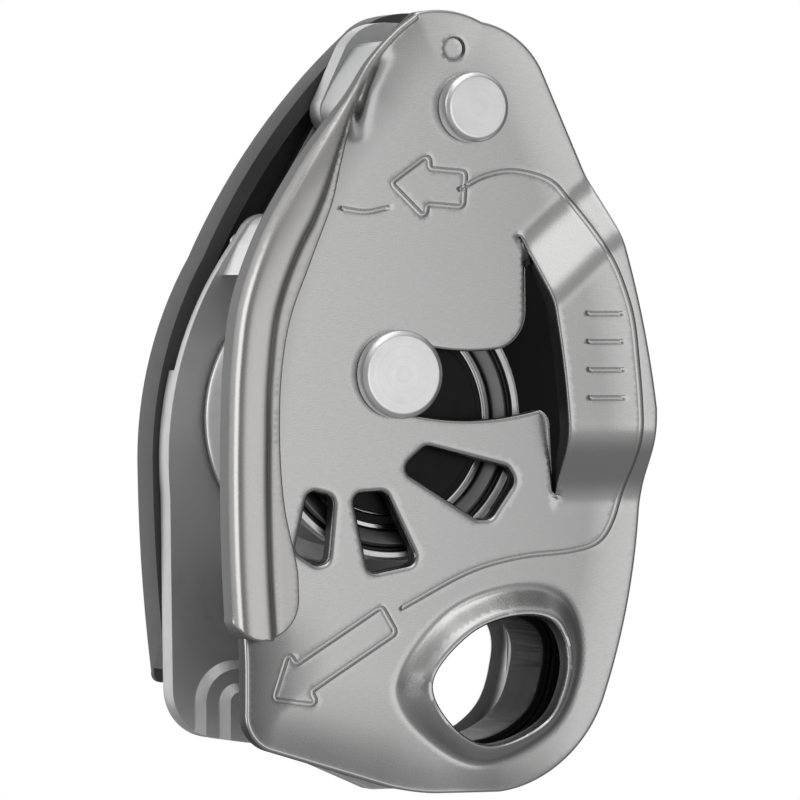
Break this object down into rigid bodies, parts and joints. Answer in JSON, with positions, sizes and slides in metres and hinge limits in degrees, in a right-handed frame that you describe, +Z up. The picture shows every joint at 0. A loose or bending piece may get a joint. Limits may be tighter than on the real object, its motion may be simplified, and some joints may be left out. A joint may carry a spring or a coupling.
{
  "type": "rope descender",
  "caption": "Belay and descent device: two side plates round a rotating grooved wheel on an eccentric cam, with a folding release lever and a carabiner hole.",
  "frame": {"origin": "centre of the attachment hole, midway between the inner faces of the two side plates", "axes": "+Z up from the attachment hole to the side plate pivot; -Y towards the moving side plate; +X towards the bridge side"},
  "size_m": [0.0641, 0.0408, 0.1126],
  "materials": {
    "plate_alloy": "satin, stamped",
    "rim_steel": "satin, worn by rope",
    "rear_alloy": "bead blasted",
    "head_steel": "turned",
    "rivet_steel": "plain",
    "shoe_steel": "hardened, ground",
    "black_nylon": "moulded",
    "bronze": "plain bearing",
    "spring_steel": "wire",
    "cam_steel": "machined",
    "dark_cover": "matte black",
    "bearing_steel": "ground",
    "wheel_alloy": "turned",
    "seal_rubber": "moulded",
    "lever_nylon": "moulded, fine texture",
    "lever_steel": "blackened"
  },
  "bodies": {
    "frame": {"fixed_side_plate": "rear_alloy", "upper_block": "rear_alloy", "block_rivets": "rivet_steel", "friction_shoe": "shoe_steel", "shoe_rivets": "rivet_steel", "carabiner_bush": "black_nylon", "rope_liner": "black_nylon", "pivot_pin": "head_steel", "pivot_washer": "black_nylon", "pivot_lock_ring": "rivet_steel", "cam_axle": "head_steel", "axle_lock_ring": "rivet_steel", "cam_front_washer": "bronze", "cam_rear_washer": "bronze", "cam_spring": "spring_steel", "hub_washer": "black_nylon", "hub_circlip": "spring_steel"},
    "side_plate": {"moving_side_plate": "plate_alloy", "wear_rim": "rim_steel", "pivot_bush": "bronze"},
    "cam": {"cam": "cam_steel", "cam_bush": "bronze", "cam_cover": "dark_cover", "cover_screws": "rivet_steel", "bearing_inner_race": "bearing_steel", "bearing_clip": "spring_steel", "drive_pin": "bearing_steel"},
    "wheel": {"wheel": "wheel_alloy", "bearing_outer_race": "bearing_steel", "bearing_rollers": "bearing_steel", "bearing_seals": "seal_rubber"},
    "handle": {"handle_lever": "lever_nylon", "handle_plate": "lever_steel", "handle_rivets": "rivet_steel", "handle_spring": "spring_steel", "hub_cap": "lever_nylon"}
  },
  "joints": [
    {"name": "side_plate_swing", "type": "hinge", "parent": "frame", "child": "side_plate", "pos_m": [-0.0031, 0, 0.0812], "axis": [0, 1, 0], "range_deg": [0, 80]},
    {"name": "cam_swing", "type": "hinge", "parent": "frame", "child": "cam", "pos_m": [-0.0145, 0, 0.0434], "axis": [0, 1, 0], "range_deg": [0, 25], "stiffness_Nm_per_rad": 0.1, "springref_deg": -28.65, "deforming": ["cam_spring"]},
    {"name": "wheel_spin", "type": "hinge", "parent": "cam", "child": "wheel", "pos_m": [-0.0136, 0, 0.037], "axis": [0, 1, 0], "continuous": true},
    {"name": "handle_swing", "type": "hinge", "parent": "frame", "child": "handle", "pos_m": [-0.0145, 0, 0.0434], "axis": [0, 1, 0], "range_deg": [-110, 0], "stiffness_Nm_per_rad": 0.03, "springref_deg": 28.65, "deforming": ["handle_spring"]}
  ]
}
